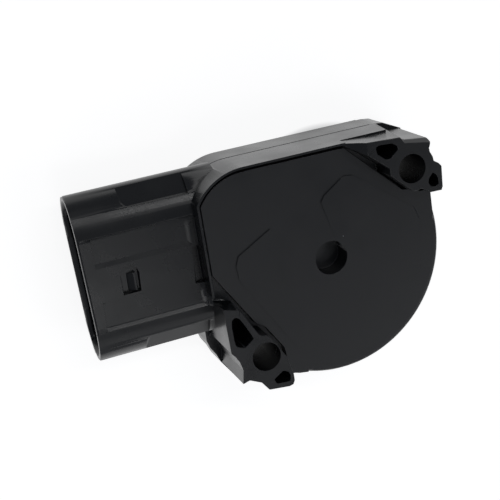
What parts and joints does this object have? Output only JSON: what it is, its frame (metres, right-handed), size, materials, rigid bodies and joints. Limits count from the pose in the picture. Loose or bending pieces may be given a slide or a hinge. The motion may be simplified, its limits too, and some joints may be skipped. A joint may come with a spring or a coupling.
{
  "type": "throttle position sensor",
  "caption": "Rotary throttle position sensor with a flat sealed connector shroud, twin mounting ears and a spring-returned rotor with a drive socket.",
  "frame": {"origin": "centre of the mounting bolt circle, which is the rotor axis, on the mounting face", "axes": "+Z along the rotor axis out of the cover, away from the throttle body; -X towards the connector's open end; +Y across, towards the straight top wall"},
  "size_m": [0.075, 0.0478, 0.021],
  "materials": {
    "black_housing": "moulded, satin",
    "black_cover": "moulded, satin",
    "sealant": "glossy, uneven",
    "terminal_plating": "tin plated",
    "board_laminate": "lacquered laminate",
    "resistive_ink": "printed",
    "contact_metal": "bright strip",
    "seal_rubber": "matt",
    "steel": "plain",
    "rotor_plastic": "moulded",
    "insert_brass": "machined",
    "washer_plastic": "smooth"
  },
  "bodies": {
    "body": {"housing": "black_housing", "cover": "black_cover", "sealant_bead": "sealant", "terminal_1": "terminal_plating", "terminal_2": "terminal_plating", "terminal_3": "terminal_plating", "terminal_4": "terminal_plating", "terminal_5": "terminal_plating", "terminal_6": "terminal_plating", "track_board": "board_laminate", "position_track": "resistive_ink", "idle_track": "contact_metal", "shaft_seal": "seal_rubber", "seal_retainer": "steel", "return_spring": "steel"},
    "rotor": {"rotor": "rotor_plastic", "drive_insert": "insert_brass", "position_wiper": "contact_metal", "idle_wiper": "contact_metal", "thrust_washer": "washer_plastic"}
  },
  "joints": [
    {"name": "rotor_turn", "type": "hinge", "parent": "body", "child": "rotor", "pos_m": [0, 0, 0.005], "axis": [0, 0, 1], "range_deg": [0, 90], "stiffness_Nm_per_rad": 0.012, "springref_deg": -34.38, "deforming": ["return_spring"]}
  ]
}
